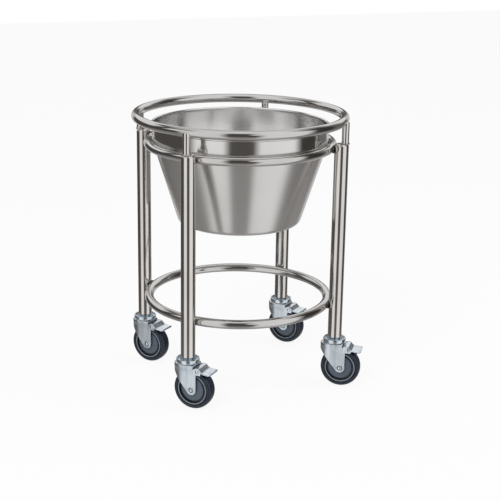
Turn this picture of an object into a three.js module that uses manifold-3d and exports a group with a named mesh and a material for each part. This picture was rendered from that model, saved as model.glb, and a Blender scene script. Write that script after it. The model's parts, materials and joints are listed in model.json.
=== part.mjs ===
// Surgical kick bucket: a conical steel bucket held in a ringed tube stand on four braked swivel casters.
// Millimetres, +Z up. The origin is on the floor, under the centre of the rings.

import * as THREE from 'three';
import { mergeVertices } from 'three/addons/utils/BufferGeometryUtils.js';
import Module from 'manifold-3d';

const wasm = await Module();
wasm.setup();

// Fits
const SEAT_GAP = 0.3; // between two pieces that are welded, pressed or seated together
const RUNNING_GAP = 0.3; // radial gap of a turning fit
const SWIVEL_GAP = 0.6; // open line between the swivel cup and the fork

// Stand
const LEG_DIAMETER = 25.4;
const LEG_WALL = 1.5;
const LEG_CIRCLE_RADIUS = 184.5; // from the centre to each leg's axis
const LEG_HALF_ANGLE = 40; // degrees from the X axis to each leg
const LEG_ABOVE_SUPPORT_RING = 11; // leg top over the support ring's centre line
const LEG_CAP_THICKNESS = 2.5;
const LEG_CAP_ROUND = 3;
const RING_BAR_DIAMETER = 16;
const BASE_RING_HEIGHT = 151;
const SUPPORT_RING_HEIGHT = 436;
const TOP_RING_RISE = 48; // top ring over the support ring, centre line to centre line
const TOP_RING_INSET = 0.5; // top ring's centre line inside the circle of the legs' axes

// Posts that carry the top ring
const POST_DIAMETER = 12.7;
const POST_TOP_RISE = 1; // a post's end over the top ring's centre line
const REAR_POST_TURN = 12; // degrees along the rings from the rear leg to the rear post
const REAR_POST_TOP_GAP = 5; // the rear post's end under the top ring's centre line

// Bucket
const BUCKET_FLOOR_HEIGHT = 292;
const BUCKET_FLOOR_RADIUS = 109;
const BUCKET_RIM_HEIGHT = 472;
const BUCKET_WALL = 1.2;
const BUCKET_CORNER_RADIUS = 12;
const BUCKET_COLLAR_STEP = 0.8; // the collar's radius over the radius where the cone meets the support ring
const BUCKET_BEAD_RADIUS = 2.2; // rolled edge

// Casters: trailing direction of each caster at rest, in degrees from +X
const CASTER_TRAIL_ANGLES = [-51, -53, -48, -36];
const CASTER_TRAIL = 13; // axle behind the swivel axis

// Wheel
const WHEEL_RADIUS = 36;
const TYRE_WIDTH = 22;
const TYRE_TREAD_WIDTH = 12;
const TYRE_SHOULDER = 3.5; // height of the rounded shoulder
const TYRE_EDGE_DROP = 0.9; // fall of the tread's rounded edge, halfway to the side
const TYRE_THICKNESS = 7.5;
const HUB_LIP_WIDTH = 2.6;
const HUB_GROOVE_WIDTH = 3;
const HUB_GROOVE_DEPTH = 2;
const HUB_DISC_INSET = 1.5;
const BUSH_RADIUS = 6;
const AXLE_RADIUS = 4;
const AXLE_HEAD_RADIUS = 6.5;
const AXLE_HEAD_THICKNESS = 1.8;
const AXLE_HEAD_CHAMFER = 1;

// Fork
const FORK_WIDTH = 36; // web under the swivel cup
const FORK_PLATE_WIDTH = 28.6; // over the two plates that hold the axle
const FORK_WALL = 2;
const FORK_NOSE_REACH = 25; // front of the fork ahead of the swivel axis
const FORK_NOSE_LOW = 13; // lowest front edge, under the fork's top face
const FORK_BOSS_RADIUS = 9; // plate end round the axle
const FORK_REAR_REACH = 17; // back edge of the web behind the swivel axis
const FORK_EAR_RADIUS = 4; // plate ear round the pedal pin
const WHEEL_TOP_CLEARANCE = 3;
const FORK_WEB_THICKNESS = 7;

// Swivel head
const CUP_RADIUS = 20.5;
const CUP_HEIGHT = 7.4;
const CUP_LIP_WIDTH = 2;
const CUP_DISH_DEPTH = 3;
const CUP_CHAMFER = 1.4;
const LEG_SEAT_RISE = 2; // leg end over the cup's lip
const RACE_RADIUS = 14;
const BALL_RADIUS = 2.6;
const STEM_RADIUS = 6;
const STEM_HEAD_RADIUS = 9;
const STEM_HEAD_THICKNESS = 1.8;
const STEM_PLUG_LENGTH = 38;
const STEM_PLUG_CHAMFER = 2;

// Brake pedal: its place and outline are measured from the pedal pin
const PEDAL_PIN_BEHIND_AXLE = 13;
const PEDAL_PIN_ABOVE_WHEEL = 0.6; // pin's axis over the top of the wheel
const PEDAL_PIN_RADIUS = 1.8;
const PEDAL_PIN_HEAD_RADIUS = 3.2;
const PEDAL_PIN_HEAD_THICKNESS = 1.2;
const PEDAL_SHEET = 1.6;
const PEDAL_SIDE_GAP = 0.7; // between the fork's plates and the pedal's cheeks outside them
const PEDAL_HEEL = 7.5; // heel ahead of the pin
const PEDAL_HEEL_RISE = 5;
const PEDAL_CROWN_AHEAD = 3; // crown's front edge ahead of the pin
const PEDAL_CROWN_RISE = 6.3;
const PEDAL_CROWN_LENGTH = 5;
const PEDAL_STEP_LENGTH = 7;
const PEDAL_STEP_DROP = 7.4;
const PEDAL_TAB_LENGTH = 11.5;
const PEDAL_TAB_DROP = 1.2;
const PEDAL_TAB_WIDTH = 34.5;
const PEDAL_TAB_CORNER = 4;
const PEDAL_LIP_LENGTH = 4;
const PEDAL_LIP_RISE = 0.6;
const PEDAL_CHEEK_DROP = 6; // cheek's lower edge under the pin
const PEDAL_CHEEK_REACH = 5.5; // cheek's lower corner behind the pin
const BRAKE_GAP = 3; // block to tyre with the brake off
const BRAKE_BLOCK_WIDTH = 22;
const BRAKE_BLOCK_START = 44; // degrees above the horizontal, seen from the axle
const BRAKE_BLOCK_END = 62;
const BRAKE_BLOCK_HEEL = 5; // block thickness at its outer end

// Facets
const RING_SEGMENTS = 48;
const BAR_SEGMENTS = 12;
const LEG_SEGMENTS = 18;
const POST_SEGMENTS = 12;
const WHEEL_SEGMENTS = 24;
const HUB_SEGMENTS = 20;
const CUP_SEGMENTS = 16;
const PIN_SEGMENTS = 12;
const ARC_SEGMENTS = 5;
const CORNER_STEPS = 4;
const BEAD_STEPS = 6;
const BALL_STEPS = 6;
const BLOCK_FACE_STEPS = 5;

// Finishes
const stainless = { color: 0xbdbab5, roughness: 0.24, metalness: 1 };
const brushedSteel = { color: 0xc2c1bf, roughness: 0.34, metalness: 1 };
const zinc = { color: 0xc4ccd4, roughness: 0.3, metalness: 1 };
const tyreRubber = { color: 0x343a42, roughness: 0.6, metalness: 0 };
const hubPlastic = { color: 0x5d6472, roughness: 0.5, metalness: 0 };
const blackPlastic = { color: 0x101113, roughness: 0.55, metalness: 0 };

// Derived sizes of the stand
const legRadius = LEG_DIAMETER / 2;
const legBore = legRadius - LEG_WALL;
const barRadius = RING_BAR_DIAMETER / 2;
const lowerRingRadius = LEG_CIRCLE_RADIUS - legRadius - barRadius - SEAT_GAP;
const topRingRadius = LEG_CIRCLE_RADIUS - TOP_RING_INSET;
const topRingHeight = SUPPORT_RING_HEIGHT + TOP_RING_RISE;
const legTop = SUPPORT_RING_HEIGHT + LEG_ABOVE_SUPPORT_RING;
const legAngles = [LEG_HALF_ANGLE, 180 - LEG_HALF_ANGLE, 180 + LEG_HALF_ANGLE, -LEG_HALF_ANGLE];
const REAR_LEG = 0;

// Derived heights of a caster
const forkWebBottom = 2 * WHEEL_RADIUS + WHEEL_TOP_CLEARANCE;
const forkTop = forkWebBottom + FORK_WEB_THICKNESS;
const cupBottom = forkTop + SWIVEL_GAP;
const cupLip = cupBottom + CUP_HEIGHT;
const legBottom = cupLip + LEG_SEAT_RISE;
const ballCentre = (forkTop + cupBottom) / 2;

// Derived sizes of the wheel and fork
const hubRadius = WHEEL_RADIUS - TYRE_THICKNESS - SEAT_GAP;
const forkHalf = FORK_WIDTH / 2;
const plateHalf = FORK_PLATE_WIDTH / 2;
const plateInner = plateHalf - FORK_WALL;
const pedalPin = { x: CASTER_TRAIL + PEDAL_PIN_BEHIND_AXLE, z: 2 * WHEEL_RADIUS + PEDAL_PIN_ABOVE_WHEEL };
const pedalHalf = plateHalf + PEDAL_SIDE_GAP + PEDAL_SHEET;

const radians = THREE.MathUtils.degToRad;
const WELD_DISTANCE = 1e-4; // corners nearer than this are one corner

// A solid from a closed three.js geometry, with its faces turned outwards
function solid(geometry) {
  geometry.deleteAttribute('normal');
  geometry.deleteAttribute('uv');
  const merged = mergeVertices(geometry, WELD_DISTANCE);
  const place = merged.getAttribute('position');
  const corners = Array.from(merged.index.array);
  const triangles = [];
  const [a, b, c] = [new THREE.Vector3(), new THREE.Vector3(), new THREE.Vector3()];
  let volume = 0;
  for (let i = 0; i < corners.length; i += 3) {
    const face = corners.slice(i, i + 3);
    if (new Set(face).size < 3) continue;
    a.fromBufferAttribute(place, face[0]);
    b.fromBufferAttribute(place, face[1]);
    c.fromBufferAttribute(place, face[2]);
    volume += a.dot(b.cross(c));
    triangles.push(face);
  }
  if (volume < 0) triangles.forEach((face) => face.reverse());
  return new wasm.Manifold(new wasm.Mesh({
    numProp: 3,
    vertProperties: new Float32Array(place.array),
    triVerts: new Uint32Array(triangles.flat()),
  }));
}

// A named mesh from a solid
function piece(name, body, finish) {
  const mesh = body.getMesh();
  const geometry = new THREE.BufferGeometry();
  geometry.setAttribute('position', new THREE.BufferAttribute(Float32Array.from(mesh.vertProperties), 3));
  geometry.setIndex(Array.from(mesh.triVerts));
  geometry.computeVertexNormals();
  const result = new THREE.Mesh(geometry, new THREE.MeshStandardMaterial(finish));
  result.name = name;
  return result;
}

// Turned round Z: the profile is a list of [radius, height]
function turned(profile, segments) {
  const points = profile.map(([radius, height]) => new THREE.Vector2(radius, height));
  return solid(new THREE.LatheGeometry(points, segments).rotateX(Math.PI / 2));
}

// Turned round Y, with a facet and not a corner at the bottom: the profile is a list of [radius, y]
function turnedOnAxle(profile, segments) {
  const points = profile.map(([radius, y]) => new THREE.Vector2(radius, y));
  return solid(new THREE.LatheGeometry(points, segments, Math.PI / segments));
}

// A closed profile repeats its first point at its end
const closed = (profile) => [...profile, profile[0]];

// A flat shape in plan, from height low to height high
function slab(shape, low, high) {
  const options = { depth: high - low, bevelEnabled: false, curveSegments: ARC_SEGMENTS };
  return solid(new THREE.ExtrudeGeometry(shape, options).translate(0, 0, low));
}

// A flat shape in side view (x, z), from y low to y high
function sideways(shape, low, high) {
  const options = { depth: high - low, bevelEnabled: false, curveSegments: ARC_SEGMENTS };
  return solid(new THREE.ExtrudeGeometry(shape, options).rotateX(Math.PI / 2).translate(0, high, 0));
}

function polygon(points) {
  return new THREE.Shape(points.map(([x, y]) => new THREE.Vector2(x, y)));
}

function disc(x, y, radius) {
  const shape = new THREE.Shape();
  shape.absarc(x, y, radius, 0, 2 * Math.PI, false);
  return shape;
}

// A disc whose flats, not corners, are at the radius, to cut a hole
function hole(x, y, radius) {
  return disc(x, y, radius / Math.cos(Math.PI / (2 * ARC_SEGMENTS)));
}

function rectangle(x0, x1, y0, y1) {
  return polygon([[x0, y0], [x1, y0], [x1, y1], [x0, y1]]);
}

// A line of points moved sideways to its right by a distance, with mitred corners
function offsetLine(points, distance) {
  return points.map((point, i) => {
    const before = points[Math.max(i - 1, 0)];
    const after = points[Math.min(i + 1, points.length - 1)];
    const inward = i > 0 ? Math.atan2(point[1] - before[1], point[0] - before[0]) : null;
    const outward = i < points.length - 1 ? Math.atan2(after[1] - point[1], after[0] - point[0]) : null;
    const first = inward ?? outward;
    const last = outward ?? inward;
    const middle = (first + last) / 2;
    const reach = distance / Math.cos((last - first) / 2);
    return [point[0] + reach * Math.sin(middle), point[1] - reach * Math.cos(middle)];
  });
}

// The point where a line from a point touches a circle, on the circle's left or right side as seen from there
function tangent(from, centre, radius, side) {
  const [dx, dy] = [centre[0] - from[0], centre[1] - from[1]];
  const distance = Math.hypot(dx, dy);
  const direction = Math.atan2(dy, dx) + side * Math.asin(radius / distance);
  const reach = Math.sqrt(distance * distance - radius * radius);
  return { point: [from[0] + reach * Math.cos(direction), from[1] + reach * Math.sin(direction)], direction };
}
const LEFT = 1;
const RIGHT = -1;

// Points of an arc, from one angle to another
function arc(centre, radius, from, to, steps) {
  return Array.from({ length: steps + 1 }, (_, i) => {
    const angle = from + ((to - from) * i) / steps;
    return [centre[0] + radius * Math.cos(angle), centre[1] + radius * Math.sin(angle)];
  });
}

// Rings of the stand
function ring(radius, height, growth = 0) {
  const torus = new THREE.TorusGeometry(radius, barRadius + growth, BAR_SEGMENTS, RING_SEGMENTS);
  return solid(torus.translate(0, 0, height));
}

const topRingCut = ring(topRingRadius, topRingHeight, SEAT_GAP);
const supportRingCut = ring(lowerRingRadius, SUPPORT_RING_HEIGHT, SEAT_GAP);

// A leg is a tube, open below for the caster's stem and closed above by a rounded cap
function legTube() {
  return turned([
    [0, legTop - LEG_CAP_THICKNESS],
    [legBore, legTop - LEG_CAP_THICKNESS],
    [legBore, legBottom],
    [legRadius, legBottom],
    [legRadius, legTop - LEG_CAP_ROUND],
    [legRadius - LEG_CAP_ROUND, legTop],
    [0, legTop],
  ], LEG_SEGMENTS);
}

// A post bar, standing upright at a radius and an angle
function postBar(radius, angle, low, high) {
  const bar = new THREE.CylinderGeometry(POST_DIAMETER / 2, POST_DIAMETER / 2, high - low, POST_SEGMENTS);
  bar.rotateX(Math.PI / 2).translate(radius, 0, (low + high) / 2);
  return solid(bar.rotateZ(radians(angle)));
}

// A post on a leg is flush with the leg's outer side, and is notched round the top ring
function legPost(angle) {
  const bar = postBar(
    LEG_CIRCLE_RADIUS + legRadius - POST_DIAMETER / 2, angle,
    legTop + SEAT_GAP, topRingHeight + POST_TOP_RISE,
  );
  return bar.subtract(topRingCut);
}

// The rear post stands beside its leg, between the outside of the support ring and the inside of the top ring
function rearPost(angle) {
  const bar = postBar(
    (lowerRingRadius + topRingRadius) / 2, angle,
    SUPPORT_RING_HEIGHT, topRingHeight - REAR_POST_TOP_GAP,
  );
  return bar.subtract(supportRingCut).subtract(topRingCut);
}

// The bucket's cone runs from its floor's corner to the support ring, which it rests against
function bucketShell() {
  const corner = [BUCKET_FLOOR_RADIUS, BUCKET_FLOOR_HEIGHT];
  const supportCentre = [lowerRingRadius, SUPPORT_RING_HEIGHT];
  const cone = tangent(corner, supportCentre, barRadius + SEAT_GAP, LEFT);
  const collarRadius = cone.point[0] + BUCKET_COLLAR_STEP;
  const collarLow = cone.point[1] + BUCKET_COLLAR_STEP * Math.tan(cone.direction);
  const cornerReach = BUCKET_CORNER_RADIUS * Math.tan(cone.direction / 2);
  const cornerCentre = [BUCKET_FLOOR_RADIUS - cornerReach, BUCKET_FLOOR_HEIGHT + BUCKET_CORNER_RADIUS];
  const cornerEnd = cone.direction - Math.PI / 2;
  const cornerArc = (radius) => arc(cornerCentre, radius, -Math.PI / 2, cornerEnd, CORNER_STEPS);
  const innerSlope = BUCKET_WALL * Math.tan((Math.PI / 2 - cone.direction) / 2);
  const beadCentre = [collarRadius, BUCKET_RIM_HEIGHT - BUCKET_BEAD_RADIUS];
  const beadFoot = Math.asin(BUCKET_WALL / BUCKET_BEAD_RADIUS);
  const bead = arc(beadCentre, BUCKET_BEAD_RADIUS, -Math.PI / 2, Math.PI + beadFoot, BEAD_STEPS);
  return turned([
    [0, BUCKET_FLOOR_HEIGHT],
    ...cornerArc(BUCKET_CORNER_RADIUS),
    [collarRadius, collarLow],
    ...bead,
    [collarRadius - BUCKET_WALL, beadCentre[1] - BUCKET_BEAD_RADIUS],
    [collarRadius - BUCKET_WALL, collarLow + innerSlope],
    ...cornerArc(BUCKET_CORNER_RADIUS - BUCKET_WALL).reverse(),
    [0, BUCKET_FLOOR_HEIGHT + BUCKET_WALL],
  ], RING_SEGMENTS);
}

// Wheel pieces, round the axle along Y at the origin
function mirroredProfile(side) {
  const other = side.map(([radius, y]) => [radius, -y]).reverse();
  return closed([...side, ...other]);
}

// The tyre's radii are measured to its facets, so that it stands on the floor
function tyre() {
  const half = TYRE_WIDTH / 2;
  const treadHalf = TYRE_TREAD_WIDTH / 2;
  const toFacet = (radius) => radius / Math.cos(Math.PI / WHEEL_SEGMENTS);
  return turnedOnAxle(mirroredProfile([
    [toFacet(WHEEL_RADIUS - TYRE_THICKNESS), half],
    [toFacet(WHEEL_RADIUS - TYRE_SHOULDER), half],
    [toFacet(WHEEL_RADIUS - TYRE_EDGE_DROP), (half + treadHalf) / 2],
    [toFacet(WHEEL_RADIUS), treadHalf],
  ]), WHEEL_SEGMENTS);
}

function hub() {
  const half = TYRE_WIDTH / 2;
  const groove = hubRadius - HUB_LIP_WIDTH;
  const discRadius = groove - HUB_GROOVE_WIDTH;
  const discHalf = half - HUB_DISC_INSET;
  return turnedOnAxle(mirroredProfile([
    [BUSH_RADIUS + RUNNING_GAP, discHalf],
    [discRadius, discHalf],
    [discRadius, discHalf - HUB_GROOVE_DEPTH],
    [groove, discHalf - HUB_GROOVE_DEPTH],
    [groove, half],
    [hubRadius, half],
  ]), HUB_SEGMENTS);
}

function bush() {
  return turnedOnAxle(mirroredProfile([
    [AXLE_RADIUS + SEAT_GAP, plateInner - SEAT_GAP],
    [BUSH_RADIUS, plateInner - SEAT_GAP],
  ]), PIN_SEGMENTS);
}

// A pin along Y with a head at each end, the heads' inner faces at the given distance from the middle
function headedPin(seat, radius, headRadius, headThickness, chamfer) {
  const end = seat + headThickness;
  const side = [
    [radius, seat],
    [headRadius, seat],
    [headRadius, end - chamfer],
    [headRadius - chamfer, end],
    [0, end],
  ];
  const other = side.map(([r, y]) => [r, -y]).reverse();
  return turnedOnAxle([...other, ...side], PIN_SEGMENTS);
}

// The fork is one pressing: a web under the swivel cup, and a narrower skirt with a round nose and two plates
function fork() {
  const rear = pedalPin.x + FORK_EAR_RADIUS;
  const plan = (half, back, noseReach) => {
    const noseCentre = half - noseReach;
    const shape = new THREE.Shape();
    shape.moveTo(back, -half);
    shape.lineTo(back, half);
    shape.lineTo(noseCentre, half);
    shape.absarc(noseCentre, 0, half, Math.PI / 2, (3 * Math.PI) / 2, false);
    return shape;
  };
  const axle = [CASTER_TRAIL, WHEEL_RADIUS];
  const noseEdge = [-FORK_NOSE_REACH, forkTop - FORK_NOSE_LOW];
  const slant = tangent(noseEdge, axle, FORK_BOSS_RADIUS, RIGHT);
  const side = new THREE.Shape();
  side.moveTo(-FORK_NOSE_REACH - FORK_WALL, forkTop);
  side.lineTo(-FORK_NOSE_REACH - FORK_WALL, noseEdge[1]);
  side.lineTo(...noseEdge);
  side.lineTo(...slant.point);
  side.absarc(...axle, FORK_BOSS_RADIUS, slant.direction - Math.PI / 2, 0, false);
  side.lineTo(CASTER_TRAIL + FORK_BOSS_RADIUS, pedalPin.z - FORK_EAR_RADIUS);
  side.lineTo(pedalPin.x, pedalPin.z - FORK_EAR_RADIUS);
  side.lineTo(pedalPin.x, forkWebBottom);
  side.lineTo(FORK_REAR_REACH, forkWebBottom);
  side.lineTo(FORK_REAR_REACH, forkTop);
  const width = [-forkHalf, forkHalf];
  const low = WHEEL_RADIUS - FORK_BOSS_RADIUS - FORK_WALL;
  const ear = disc(pedalPin.x, pedalPin.z, FORK_EAR_RADIUS);
  const outline = sideways(side, ...width).add(sideways(ear, ...width));
  const web = slab(plan(forkHalf, FORK_REAR_REACH, FORK_NOSE_REACH), forkWebBottom, forkTop);
  const wheelPlan = plan(plateInner, rear + FORK_WALL, FORK_NOSE_REACH - FORK_WALL);
  const wheelSpace = slab(wheelPlan, low - FORK_WALL, forkWebBottom);
  const pedalSpace = slab(
    rectangle(FORK_REAR_REACH, rear + FORK_WALL, -plateInner, plateInner), low, forkTop + FORK_WALL,
  );
  const raceDepth = BALL_RADIUS + RUNNING_GAP;
  const race = turned(closed([
    [RACE_RADIUS - raceDepth, ballCentre - raceDepth],
    [RACE_RADIUS + raceDepth, ballCentre - raceDepth],
    [RACE_RADIUS + raceDepth, cupBottom],
    [RACE_RADIUS - raceDepth, cupBottom],
  ]), CUP_SEGMENTS);
  const through = [-forkHalf - FORK_WALL, forkHalf + FORK_WALL];
  return slab(plan(plateHalf, rear, FORK_NOSE_REACH), low, forkTop)
    .intersect(outline)
    .add(web)
    .subtract(wheelSpace)
    .subtract(pedalSpace)
    .subtract(race)
    .subtract(slab(hole(0, 0, STEM_RADIUS + RUNNING_GAP), low, cupBottom))
    .subtract(sideways(hole(...axle, AXLE_RADIUS + SEAT_GAP), ...through))
    .subtract(sideways(hole(pedalPin.x, pedalPin.z, PEDAL_PIN_RADIUS + SEAT_GAP), ...through));
}

// The swivel cup is a dish round the leg's end, with the upper half of the ball race below
function swivelCup() {
  const raceDepth = BALL_RADIUS + RUNNING_GAP;
  const bore = STEM_RADIUS + SEAT_GAP;
  return turned(closed([
    [bore, cupBottom],
    [RACE_RADIUS - raceDepth, cupBottom],
    [RACE_RADIUS - raceDepth, ballCentre + raceDepth],
    [RACE_RADIUS + raceDepth, ballCentre + raceDepth],
    [RACE_RADIUS + raceDepth, cupBottom],
    [CUP_RADIUS - CUP_CHAMFER, cupBottom],
    [CUP_RADIUS, cupBottom + CUP_CHAMFER],
    [CUP_RADIUS, cupLip],
    [CUP_RADIUS - CUP_LIP_WIDTH, cupLip],
    [CUP_RADIUS - 2 * CUP_LIP_WIDTH, cupLip - CUP_DISH_DEPTH],
    [legRadius, cupLip - CUP_DISH_DEPTH],
    [legRadius, legBottom - SEAT_GAP],
    [bore, legBottom - SEAT_GAP],
  ]), CUP_SEGMENTS);
}

// The ring of caged balls between the cup and the fork, drawn as one ring of the balls' section
function ballRing() {
  const section = arc([RACE_RADIUS, ballCentre], BALL_RADIUS, 0, 2 * Math.PI, BALL_STEPS).slice(0, -1);
  return turned(closed(section), CUP_SEGMENTS);
}

// The stem is riveted under the fork's web, and its plug is pressed into the leg
function stem() {
  const headTop = forkWebBottom - RUNNING_GAP;
  const plugRadius = legBore - SEAT_GAP;
  const plugTop = legBottom + STEM_PLUG_LENGTH;
  return turned([
    [0, headTop - STEM_HEAD_THICKNESS],
    [STEM_HEAD_RADIUS, headTop - STEM_HEAD_THICKNESS],
    [STEM_HEAD_RADIUS, headTop],
    [STEM_RADIUS, headTop],
    [STEM_RADIUS, legBottom],
    [plugRadius, legBottom],
    [plugRadius, plugTop - STEM_PLUG_CHAMFER],
    [plugRadius - STEM_PLUG_CHAMFER, plugTop],
    [0, plugTop],
  ], PIN_SEGMENTS);
}

// The pedal's sheet in side view: heel, crown over the pin, step down, tread tab and upturned lip
const pedalCrown = pedalPin.z + PEDAL_CROWN_RISE;
const pedalCrownStart = pedalPin.x - PEDAL_CROWN_AHEAD;
const pedalCrownEnd = pedalCrownStart + PEDAL_CROWN_LENGTH;
const pedalStep = pedalCrownEnd + PEDAL_STEP_LENGTH;
const pedalTabEnd = pedalStep + PEDAL_TAB_LENGTH;
const pedalTabHeight = pedalCrown - PEDAL_STEP_DROP - PEDAL_TAB_DROP;
const pedalLine = [
  [pedalPin.x - PEDAL_HEEL, pedalPin.z + PEDAL_HEEL_RISE],
  [pedalCrownStart, pedalCrown],
  [pedalCrownEnd, pedalCrown],
  [pedalStep, pedalCrown - PEDAL_STEP_DROP],
  [pedalTabEnd, pedalTabHeight],
  [pedalTabEnd + PEDAL_LIP_LENGTH, pedalTabHeight + PEDAL_LIP_RISE],
];
const underPedal = offsetLine(pedalLine, PEDAL_SHEET);

function pedal() {
  const sheet = (from, to) => polygon([
    ...pedalLine.slice(from, to),
    ...underPedal.slice(from, to).reverse(),
  ]);
  const body = sideways(sheet(0, 4), -pedalHalf, pedalHalf);
  const tabHalf = PEDAL_TAB_WIDTH / 2;
  const tabPlan = new THREE.Shape();
  const end = pedalTabEnd + PEDAL_LIP_LENGTH;
  const cornerX = end - PEDAL_TAB_CORNER;
  tabPlan.moveTo(pedalStep - PEDAL_STEP_LENGTH, -pedalHalf);
  tabPlan.lineTo(pedalStep, -tabHalf);
  tabPlan.lineTo(cornerX, -tabHalf);
  tabPlan.absarc(cornerX, PEDAL_TAB_CORNER - tabHalf, PEDAL_TAB_CORNER, -Math.PI / 2, 0, false);
  tabPlan.absarc(cornerX, tabHalf - PEDAL_TAB_CORNER, PEDAL_TAB_CORNER, 0, Math.PI / 2, false);
  tabPlan.lineTo(pedalStep, tabHalf);
  tabPlan.lineTo(pedalStep - PEDAL_STEP_LENGTH, pedalHalf);
  const tab = sideways(sheet(2, 6), -tabHalf, tabHalf)
    .intersect(slab(tabPlan, pedalPin.z - PEDAL_STEP_DROP, pedalCrown + PEDAL_LIP_RISE));
  const low = pedalPin.z - PEDAL_CHEEK_DROP;
  const cheek = polygon([
    [pedalPin.x - PEDAL_HEEL, low],
    [pedalPin.x + PEDAL_CHEEK_REACH, low],
    underPedal[3],
    pedalLine[2],
    pedalLine[1],
    pedalLine[0],
  ]);
  const cheeks = sideways(cheek, -pedalHalf, PEDAL_SHEET - pedalHalf)
    .add(sideways(cheek, pedalHalf - PEDAL_SHEET, pedalHalf));
  const pinHole = hole(pedalPin.x, pedalPin.z, PEDAL_PIN_RADIUS + RUNNING_GAP);
  return body.add(tab).add(cheeks).subtract(sideways(pinHole, -forkHalf, forkHalf));
}

// The point of a slanted line at the given x
function pointAt(start, end, x) {
  return [x, start[1] + ((end[1] - start[1]) * (x - start[0])) / (end[0] - start[0])];
}

// The brake block hangs under the pedal's step and tab, and its face follows the tyre
function brakeBlock() {
  const face = arc(
    [CASTER_TRAIL, WHEEL_RADIUS], WHEEL_RADIUS + BRAKE_GAP,
    radians(BRAKE_BLOCK_END), radians(BRAKE_BLOCK_START), BLOCK_FACE_STEPS,
  );
  const seat = offsetLine(pedalLine, PEDAL_SHEET + SEAT_GAP);
  const outer = radians(BRAKE_BLOCK_START);
  const last = face[face.length - 1];
  const heel = [last[0] + BRAKE_BLOCK_HEEL * Math.cos(outer), last[1] + BRAKE_BLOCK_HEEL * Math.sin(outer)];
  const slopeSeat = pointAt(seat[2], seat[3], face[0][0]);
  const tabSeat = pointAt(seat[3], seat[4], heel[0]);
  const block = polygon([...face, heel, tabSeat, seat[3], slopeSeat]);
  return sideways(block, -BRAKE_BLOCK_WIDTH / 2, BRAKE_BLOCK_WIDTH / 2);
}

// Assembly
const kickBucket = new THREE.Group();

legAngles.forEach((angle, i) => {
  const number = i + 1;
  const foot = new THREE.Group();
  foot.position.set(
    LEG_CIRCLE_RADIUS * Math.cos(radians(angle)), LEG_CIRCLE_RADIUS * Math.sin(radians(angle)), 0,
  );
  foot.add(piece(`leg_tube_${number}`, legTube(), stainless));
  foot.add(piece(`caster_stem_${number}`, stem(), zinc));
  foot.add(piece(`swivel_cup_${number}`, swivelCup(), zinc));
  foot.add(piece(`ball_ring_${number}`, ballRing(), zinc));

  const caster = new THREE.Group();
  caster.rotation.z = radians(CASTER_TRAIL_ANGLES[i]);
  caster.add(piece(`fork_${number}`, fork(), zinc));
  caster.add(piece(`brake_pedal_${number}`, pedal(), zinc));
  caster.add(piece(`brake_block_${number}`, brakeBlock(), blackPlastic));
  const pinSeat = pedalHalf + RUNNING_GAP;
  const pin = headedPin(pinSeat, PEDAL_PIN_RADIUS, PEDAL_PIN_HEAD_RADIUS, PEDAL_PIN_HEAD_THICKNESS, 0);
  const pinMesh = piece(`pedal_pin_${number}`, pin, zinc);
  pinMesh.position.set(pedalPin.x, 0, pedalPin.z);
  caster.add(pinMesh);

  const wheel = new THREE.Group();
  wheel.position.set(CASTER_TRAIL, 0, WHEEL_RADIUS);
  wheel.add(piece(`tyre_${number}`, tyre(), tyreRubber));
  wheel.add(piece(`wheel_hub_${number}`, hub(), hubPlastic));
  wheel.add(piece(`axle_bush_${number}`, bush(), zinc));
  const axleSeat = plateHalf + SEAT_GAP;
  const axle = headedPin(axleSeat, AXLE_RADIUS, AXLE_HEAD_RADIUS, AXLE_HEAD_THICKNESS, AXLE_HEAD_CHAMFER);
  wheel.add(piece(`axle_rivet_${number}`, axle, zinc));
  caster.add(wheel);
  foot.add(caster);
  kickBucket.add(foot);

  const post = i === REAR_LEG ? rearPost(angle + REAR_POST_TURN) : legPost(angle);
  kickBucket.add(piece(`ring_post_${number}`, post, stainless));
});

kickBucket.add(piece('base_ring', ring(lowerRingRadius, BASE_RING_HEIGHT), stainless));
kickBucket.add(piece('support_ring', ring(lowerRingRadius, SUPPORT_RING_HEIGHT), stainless));
kickBucket.add(piece('top_ring', ring(topRingRadius, topRingHeight), stainless));
kickBucket.add(piece('bucket', bucketShell(), brushedSteel));

export default kickBucket;
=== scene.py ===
"""Looks of a surgical kick bucket: polished tube stand, satin pail and braked swivel casters.

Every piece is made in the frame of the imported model: metres, +Z up, origin on the floor under the rings.
Sizes inside a caster are written in millimetres, in the caster's own frame: x trails behind the swivel axis,
y runs along the axle, z is the height over the floor.
"""

import json
import math
import random

import bmesh
import bpy
from mathutils import Matrix, Vector


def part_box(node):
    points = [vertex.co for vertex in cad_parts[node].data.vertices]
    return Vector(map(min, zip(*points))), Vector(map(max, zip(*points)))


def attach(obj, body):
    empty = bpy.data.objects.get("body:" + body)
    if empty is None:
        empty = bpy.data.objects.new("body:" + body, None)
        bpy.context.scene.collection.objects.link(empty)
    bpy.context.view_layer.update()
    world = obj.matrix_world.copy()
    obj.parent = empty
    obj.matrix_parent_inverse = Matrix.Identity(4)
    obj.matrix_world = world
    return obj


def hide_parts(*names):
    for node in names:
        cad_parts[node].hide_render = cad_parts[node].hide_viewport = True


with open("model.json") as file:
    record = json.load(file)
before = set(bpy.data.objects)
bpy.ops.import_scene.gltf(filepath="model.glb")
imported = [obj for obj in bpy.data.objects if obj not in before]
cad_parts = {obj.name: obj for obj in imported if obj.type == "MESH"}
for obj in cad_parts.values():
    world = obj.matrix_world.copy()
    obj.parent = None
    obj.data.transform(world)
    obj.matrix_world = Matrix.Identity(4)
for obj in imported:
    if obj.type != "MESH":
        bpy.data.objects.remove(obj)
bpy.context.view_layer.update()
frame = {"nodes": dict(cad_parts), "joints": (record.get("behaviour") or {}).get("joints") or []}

MM = 0.001
FULL_TURN = 2 * math.pi
ON_AXIS = 1e-6  # a smaller radius is a point on the axis
MERGE_REACH = 1e-7  # points closer than this are one, in metres
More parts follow.
